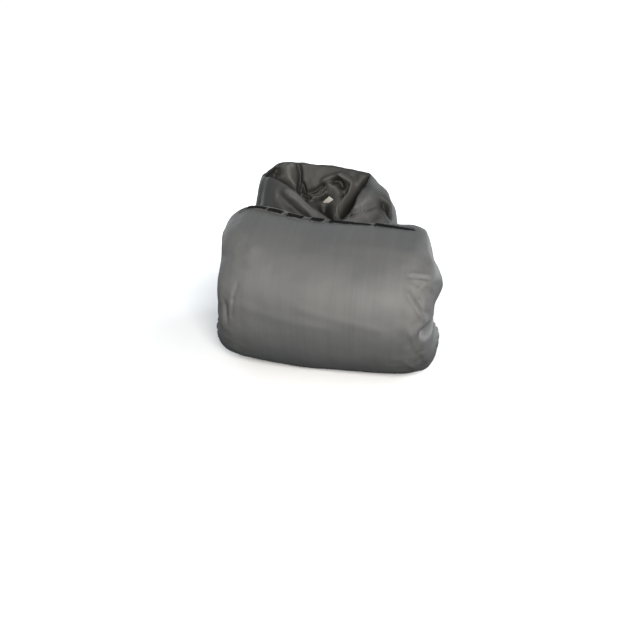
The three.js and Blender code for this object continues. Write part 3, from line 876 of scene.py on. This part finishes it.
def wall_path(path):
    """Points of turn and level as places on the plain wall."""
    turn, level = np.array(path, float).T
    rows = WALL_PROFILE[1:]
    out = np.interp(level, [row.level for row in rows], [row.out for row in rows])
    return wall_places(out, level, turn)


def fold_height(places, normals, folds):
    """How far the folds lift the cloth, by each point's distance from the lines of the folds."""
    lifted = np.zeros(len(places))
    for fold in folds:
        near = np.full(len(places), np.inf)
        side = np.zeros(len(places))
        path = smooth_rows(fold.path, FOLD_POINTS)
        for start, end in zip(path, path[1:]):
            line = end - start
            share = np.clip((places - start) @ line / (line @ line), 0, 1)
            off = places - start - share[:, None] * line
            distance = np.linalg.norm(off, axis=1)
            closer = distance < near
            near = np.where(closer, distance, near)
            side = np.where(closer, np.sum(off * np.cross(normals, line), axis=1), side)
        lifted += fold.height * np.exp(-((near / np.where(side > 0, fold.left, fold.right)) ** 2))
    return lifted


def gather_grid():
    """The skin up the wall and down into the mouth, with each point's place in its profile and round it."""
    wall = smooth_rows(WALL_PROFILE, GATHER_STEPS["wall"])
    mouth = smooth_rows(MOUTH_PROFILE, GATHER_STEPS["mouth"])[1:]
    rows = np.vstack([wall, mouth])
    rows[0, 0] = rows[-1, 0] = 0
    last = len(rows) - 1
    post = [(float(0 < number < last), 0, number * ROW_STEP) for number in range(last + 1)]
    made = spun_skin(post, (0, 0, 1), GATHER_STEPS["around"])
    unit = vert_places(made)
    row = np.rint(unit[:, 2] / ROW_STEP).astype(int)
    out, level = rows[row].T
    turn = np.degrees(np.arctan2(unit[:, 1], unit[:, 0]))
    return made, out, level, turn, row < len(wall)


def fold_lift(made, places, normals, out, level, outside):
    """How far the folds and the crumpling lift the cloth, held clear of the cloth behind it."""
    lifted = np.empty(len(places))
    on_wall = [fold._replace(path=wall_path(fold.path)) for fold in BACK_FOLDS]
    below_rim = 1 - ease(level[outside], *BACK_FADE)
    lifted[outside] = fold_height(places[outside], normals[outside], on_wall) * below_rim
    lifted[outside] += fold_height(places[outside], normals[outside], PANEL_FOLDS)
    lifted[~outside] = fold_height(places[~outside], normals[~outside], MOUTH_FOLDS)
    for lumps in GATHER_LUMPS:
        lifted += lumps.height * crumple(places, lumps)
    lifted *= ease(out, 0, LOW_FADE) * np.where(outside, 1.0, ease(1 - out, 0, RIM_FADE))
    skin = BVHTree.FromBMesh(made)
    for index in np.flatnonzero(lifted < 0):
        inward = Vector(-normals[index])
        clear = skin.ray_cast(Vector(places[index]) + inward * RAY_START, inward)[3]
        if clear is not None:
            room = clear * (WALL_CLEAR if outside[index] else FOLD_CLEAR)
            lifted[index] = room * math.tanh(lifted[index] / room)
    return lifted


def painted_shade_tone(places, lifted, level, turn, outside):
    """Painted shade and light on the cloth at each point: painted shade in front, inside, at the limbs, in
    the folds and where it meets the roll, and painted highlight on the ridges and right panel.
    """
    back = np.sin(np.radians(turn))
    right = np.cos(np.radians(turn))
    relief = np.tanh(lifted / RELIEF_FULL)
    open_side = np.maximum(ease(back, *OPEN_BACK), 1 - ease(level, *OPEN_LOW))
    shade = TONE_FRONT + (TONE_BACK - TONE_FRONT) * open_side * outside
    limb = ease(np.abs(right), *LIMB_SIDE) * ease(level, *LIMB_LEVEL) * outside
    panel = ease(right, *PANEL_SIDE) * outside
    shade *= (1 - TONE_LIMB * limb) * (1 + TONE_PANEL * panel * (1 - limb))
    contact = np.exp(-(((places[:, 2] - CONTACT_BAND[0]) / CONTACT_BAND[1]) ** 2))
    shade *= 1 - TONE_CONTACT * contact * outside * ease(-back, *CONTACT_FRONT) * (places[:, 0] < 0)
    return shade * (1 + TONE_RELIEF * np.maximum(relief, RIDGE_HIGHLIGHT * relief))


def mark_verts(made, name, values):
    layer = made.verts.layers.float.new(name)
    for vert, value in zip(made.verts, values):
        vert[layer] = float(value)


def relax(made, verts, passes):
    for _ in range(passes):
        bmesh.ops.smooth_vert(
            made, verts=verts, factor=0.5, use_axis_x=True, use_axis_y=True, use_axis_z=True
        )


def gathered_end():
    made, out, level, turn, outside = gather_grid()
    places = np.empty((len(out), 3))
    places[outside] = wall_places(out[outside], level[outside], turn[outside])
    places[~outside] = mouth_places(out[~outside], level[~outside], turn[~outside])
    move_verts(made, places)
    bmesh.ops.recalc_face_normals(made, faces=made.faces)
    made.normal_update()
    normals = np.array([vert.normal for vert in made.verts])
    lifted = fold_lift(made, places, normals, out, level, outside)
    mark_verts(made, "inner", ~outside)
    # Painted shade and highlight, kept in the tone attribute.
    mark_verts(made, "tone", painted_shade_tone(places, lifted, level, turn, outside))
    places += normals * (lifted * ease(places[:, 2], 0.0, FLOOR_FADE))[:, None]
    places[:, 2] = np.maximum(places[:, 2], 0)
    move_verts(made, places)
    behind = outside & (np.sin(np.radians(turn)) > SLACK_BACK)
    behind &= (level > SLACK_LEVEL[0]) & (level < SLACK_LEVEL[1])
    in_mouth = ~outside & (out < MOUTH_INSIDE) & (out > 0)
    verts = np.array(made.verts[:], dtype=object)
    relax(made, list(verts[behind]), BACK_SMOOTH)
    relax(made, list(verts[in_mouth]), MOUTH_SMOOTH)
    crowded = [
        vert for vert in verts[in_mouth]
        if min(edge.calc_length() for edge in vert.link_edges) < CROWDED_EDGE
    ]
    relax(made, crowded, CROWDED_SMOOTH)
    bmesh.ops.recalc_face_normals(made, faces=made.faces)
    return made


GATHER_LINING = (0.0384, 0.0386, 0.0361)
GATHER_RIBS = (60.0, 60.0, 12.0)
GATHER_GLOSS = 0.36
gather_cloth = cover_cloth("gather_cloth", GATHER_RIBS, GATHER_GLOSS, lining=GATHER_LINING)
gather = piece_from("cover_gather", gathered_end(), gather_cloth)
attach(gather, "root")
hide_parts("cover_cloth")


# The hem and its elastic
# A turned hem stands along the crest of the roll where the last lap of cloth ends. A black elastic is
# sewn along its front slope and shows in short stretches where the puckered hem lies open.
HEM_FROM = -0.87
HEM_TO = 0.92
SKIN_OUT = 0.8
HEM_SIDES = 20
HEM_RINGS = 260
HEM_END = 0.15
HEM_TAPER = 0.02
HEM_SINK = 0.002
HEM_HALF = 0.009
HEM_NARROW = 0.3
HEM_RIBS = (CLOTH_RIBS, 40.0, 40.0)
HEM_GLOSS = 0.4
# The hem's cloth is darkened all over to a painted shade.
HEM_PAINTED_SHADE = 0.45

# Puckers along the hem: their height and closeness, the drift of their spacing, and finer ones that lean.
HEM_PUCKER = 0.0009
HEM_PUCKERS = 46.0
PUCKER_DRIFT = 1.7
PUCKER_DRIFTS = 5.3
PUCKER_FINE = 0.6
PUCKER_FINER = 2.7
PUCKER_LEAN = 4.0

# The hem's line: degrees round the roll along its length.
HemLine = namedtuple("HemLine", "along turn")
HEM_LINE = [
    HemLine(-0.90, 88),
    HemLine(-0.70, 92.5),
    HemLine(-0.45, 93.5),
    HemLine(-0.15, 97),
    HemLine(0.15, 98),
    HemLine(0.40, 95),
    HemLine(0.62, 90),
    HemLine(0.95, 82),
]

# The hem's section: metres back across the crest, and out from it.
HemCorner = namedtuple("HemCorner", "share across out")
HEM_SECTION = [
    HemCorner(0.00, 0.0060, -0.0030),
    HemCorner(0.12, 0.0052, 0.0018),
    HemCorner(0.26, 0.0030, 0.0044),
    HemCorner(0.40, 0.0002, 0.0056),
    HemCorner(0.50, -0.0034, 0.0052),
    HemCorner(0.62, -0.0082, 0.0030),
    HemCorner(0.74, -0.0130, 0.0004),
    HemCorner(0.86, -0.0120, -0.0030),
]

# The elastic lies on the slope between two corners of the section, and its weave stands in fine ribs.
ELASTIC_LOW = HEM_SECTION[6]
ELASTIC_HIGH = HEM_SECTION[4]
ELASTIC_SIDES = 16
ELASTIC_SQUARE = 0.35
ELASTIC_WIDTH = 0.0084
ELASTIC_THICK = 0.0020
ELASTIC_CLEAR = 0.0004
ELASTIC_RIBS = 0.0016
RINGS_A_RIB = 4
RIB_DEPTH = 0.12
RIB_EDGE = 0.04
ELASTIC_SLANT = 0.0035
ELASTIC_BLACK = (0.003, 0.0032, 0.0035, 1.0)
ELASTIC_DUSTY = (0.008, 0.0085, 0.009, 1.0)
ELASTIC_DUST = Uneven(260.0, 3.0, 1.0)

# The stretches where the elastic shows, from one place along the roll to another, and how much of its
# width shows at each end.
Stretch = namedtuple("Stretch", "start end first last")
ELASTIC_SHOWS = [
    Stretch(-0.77, -0.61, 0.60, 0.75),
    Stretch(-0.58, -0.46, 0.90, 1.00),
    Stretch(-0.41, -0.28, 1.00, 0.90),
    Stretch(-0.20, -0.09, 1.00, 1.00),
    Stretch(-0.03, 0.34, 1.00, 0.45),
    Stretch(0.39, 0.80, 0.90, 0.50),
]
HEM_SHUT = 0.42
HEM_AJAR = 0.25
OPEN_FADE = 0.03


def hem_open(along):
    """How far the hem stands open along the roll: fully where the elastic shows."""
    spread = np.full_like(along, HEM_SHUT)
    for stretch in ELASTIC_SHOWS:
        run = np.clip((along - stretch.start) / (stretch.end - stretch.start), 0, 1)
        shown = stretch.first + (stretch.last - stretch.first) * run
        near = ease(along, stretch.start - OPEN_FADE, stretch.start)
        near *= 1 - ease(along, stretch.end, stretch.end + OPEN_FADE)
        spread = np.maximum(spread, near * (HEM_AJAR + (1 - HEM_AJAR) * shown))
    return spread


def hem_width(spread):
    return HEM_NARROW + (1 - HEM_NARROW) * spread


def crest_places(along, across, out):
    """Points beside the crest of the roll: back across it and out from its skin."""
    skin = sorted((row for row in ROLL_PROFILE if row.out > SKIN_OUT), key=lambda row: row.along)
    skin_out = smooth_table(skin, "along", "out", along)
    turn = smooth_table(HEM_LINE, "along", "turn", along)
    base = roll_places(along, skin_out, turn)
    back = roll_places(along, skin_out, turn + 1.0) - base
    back[:, 0] = 0
    back /= np.linalg.norm(back, axis=1)[:, None]
    outward = np.stack([np.zeros_like(along), -back[:, 2], back[:, 1]], axis=1)
    return base + back * across[:, None] + outward * out[:, None]


def capped_tube(sides, rings):
    """A closed tube of length 1 along Z with many rings, to be laid out by vertex moves."""
    made = bmesh.new()
    bmesh.ops.create_cone(made, cap_ends=True, segments=sides, radius1=1, radius2=1, depth=1)
    long_edges = [edge for edge in made.edges if abs(edge.verts[0].co.z - edge.verts[1].co.z) > 0.5]
    bmesh.ops.subdivide_edges(made, edges=long_edges, cuts=rings, use_grid_fill=True)
    unit = vert_places(made)
    share = (np.degrees(np.arctan2(unit[:, 1], unit[:, 0])) % 360.0) / 360.0
    return made, unit[:, 2] + 0.5, share


def turned_hem():
    made, run, share = capped_tube(HEM_SIDES, HEM_RINGS)
    along = HEM_FROM + (HEM_TO - HEM_FROM) * run
    across = smooth_table(HEM_SECTION, "share", "across", share, 1.0)
    out = smooth_table(HEM_SECTION, "share", "out", share, 1.0)
    pucker = HEM_PUCKER * np.sin(HEM_PUCKERS * along + PUCKER_DRIFT * np.sin(PUCKER_DRIFTS * along))
    leaning = PUCKER_FINER * HEM_PUCKERS * along + PUCKER_LEAN * across / HEM_HALF
    pucker += PUCKER_FINE * HEM_PUCKER * np.sin(leaning)
    out = out + np.where(out > 0, pucker, 0)
    taper = HEM_END + (1 - HEM_END) * ease(run, 0, HEM_TAPER) * (1 - ease(run, 1 - HEM_TAPER, 1))
    spread = hem_open(along)
    out = np.where(out > 0, out * spread, out) * taper - HEM_SINK * (1 - taper)
    move_verts(made, crest_places(along, across * hem_width(spread), out))
    bmesh.ops.recalc_face_normals(made, faces=made.faces)
    return made


def elastic_band(stretch):
    length = (stretch.end - stretch.start) * ROLL_LENGTH / 2
    ribs = length / ELASTIC_RIBS
    made, run, share = capped_tube(ELASTIC_SIDES, int(ribs * RINGS_A_RIB))
    slope = np.array([ELASTIC_HIGH.across - ELASTIC_LOW.across, ELASTIC_HIGH.out - ELASTIC_LOW.out])
    spare = (np.linalg.norm(slope) - ELASTIC_WIDTH) / 2
    slope /= np.linalg.norm(slope)
    off = np.array([-slope[1], slope[0]])
    around = share * math.tau
    flat = squared(np.cos(around), ELASTIC_SQUARE)
    thick = squared(np.sin(around), ELASTIC_SQUARE)
    rib = 1 - RIB_DEPTH * (0.5 + 0.5 * np.cos(math.tau * ribs * run))
    shown = stretch.first + (stretch.last - stretch.first) * run
    up = spare + ELASTIC_WIDTH * (0.5 + 0.5 * flat * (1 - RIB_EDGE + RIB_EDGE * rib)) * shown
    away = ELASTIC_CLEAR + ELASTIC_THICK * (0.5 + 0.5 * thick * rib)
    along = stretch.start + (stretch.end - stretch.start) * run
    along = along + flat * ELASTIC_SLANT / ROLL_LENGTH
    spread = hem_open(along)
    across = (ELASTIC_LOW.across + slope[0] * up) * hem_width(spread) + off[0] * away
    out = (ELASTIC_LOW.out + slope[1] * up) * spread + off[1] * away
    move_verts(made, crest_places(along, across, out))
    bmesh.ops.recalc_face_normals(made, faces=made.faces)
    return made


def woven_elastic():
    """Black ribbed elastic, flecked with dust."""
    material, shader, start = new_finish("woven_elastic", Roughness=0.9, Specular_IOR_Level=0.03)
    spot = start.make("ShaderNodeTexCoord", out=3)
    dust = mottled(start, spot, ELASTIC_DUST)
    feed(shader, "Base Color", mixed(start, dust, ELASTIC_BLACK, ELASTIC_DUSTY))
    bump = start.make("ShaderNodeBump", None, {"Strength": 0.4, "Distance": 0.0003, "Height": dust})
    feed(shader, "Normal", bump)
    return material


hem = piece_from("cover_hem", turned_hem(), cover_cloth("hem_cloth", HEM_RIBS, HEM_GLOSS, HEM_PAINTED_SHADE))
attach(hem, "root")

elastic_finish = woven_elastic()
for number, stretch in enumerate(ELASTIC_SHOWS, 1):
    band = piece_from(f"elastic_{number}", elastic_band(stretch), elastic_finish)
    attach(band, "root")
    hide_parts(f"hem_elastic_{number}")


# The care label
# A small blank tab of white woven ribbon, curled, its white greyed to a painted shade and mottled darker at
# random. It is sewn into the gathered cloth at one end and left to lean in the mouth.
LABEL_WIDTH = 0.012
LABEL_LENGTH = 0.020
LABEL_THICK = 0.0008
LABEL_STEPS = {"across": 14, "along": 22}
LABEL_SPOT = (-0.0435, 0.1467, 0.2600)
LABEL_YAW = 12.0
LABEL_LEAN = 24.0
LABEL_ROLL = 42.0
LABEL_CURL = 0.002
LABEL_BOW = 2.2
LABEL_TWIST = 0.6
LABEL_LEVEL = 0.4
# The ribbon's white is greyed to a painted shade.
LABEL_SHADED_WHITE = (0.46, 0.45, 0.43, 1.0)
LABEL_DULL = (0.14, 0.135, 0.13, 1.0)
LABEL_MOTTLING = Uneven(160.0, 4.0, 1.0)
LABEL_THREAD = Uneven(1500.0, 1.0, 1.0)


def label_tab():
    made = bmesh.new()
    bmesh.ops.create_grid(made, x_segments=LABEL_STEPS["across"], y_segments=LABEL_STEPS["along"], size=0.5)
    flat = vert_places(made)
    across, along = flat[:, 0], flat[:, 1]
    bent = np.cos(LABEL_BOW * across) * 0.5 + along**2 - LABEL_TWIST * along * across
    curl = LABEL_CURL * bent - LABEL_CURL * LABEL_LEVEL
    places = np.stack([across * LABEL_WIDTH, curl, along * LABEL_LENGTH], axis=1)
    move_verts(made, places)
    made.normal_update()
    bmesh.ops.solidify(made, geom=made.faces[:], thickness=LABEL_THICK)
    turned = (
        Matrix.Translation(LABEL_SPOT)
        @ Matrix.Rotation(math.radians(LABEL_YAW), 4, "Z")
        @ Matrix.Rotation(math.radians(LABEL_LEAN), 4, "X")
        @ Matrix.Rotation(math.radians(LABEL_ROLL), 4, "Y")
    )
    bmesh.ops.transform(made, matrix=turned, verts=made.verts)
    bmesh.ops.recalc_face_normals(made, faces=made.faces)
    return made


def label_ribbon():
    """White woven ribbon with a fine cross grain, greyed to a painted shade and mottled darker at random.
    """
    material, shader, start = new_finish("label_ribbon", Roughness=0.55, Specular_IOR_Level=0.4)
    spot = start.make("ShaderNodeTexCoord", out=3)
    mottling = mottled(start, spot, LABEL_MOTTLING)
    feed(shader, "Base Color", mixed(start, mottling, LABEL_DULL, LABEL_SHADED_WHITE))
    thread = mottled(start, spot, LABEL_THREAD)
    bump = start.make("ShaderNodeBump", None, {"Strength": 0.3, "Distance": 0.0002, "Height": thread})
    feed(shader, "Normal", bump)
    return material


label = piece_from("care_tab", label_tab(), label_ribbon())
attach(label, "root")
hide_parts("care_label")
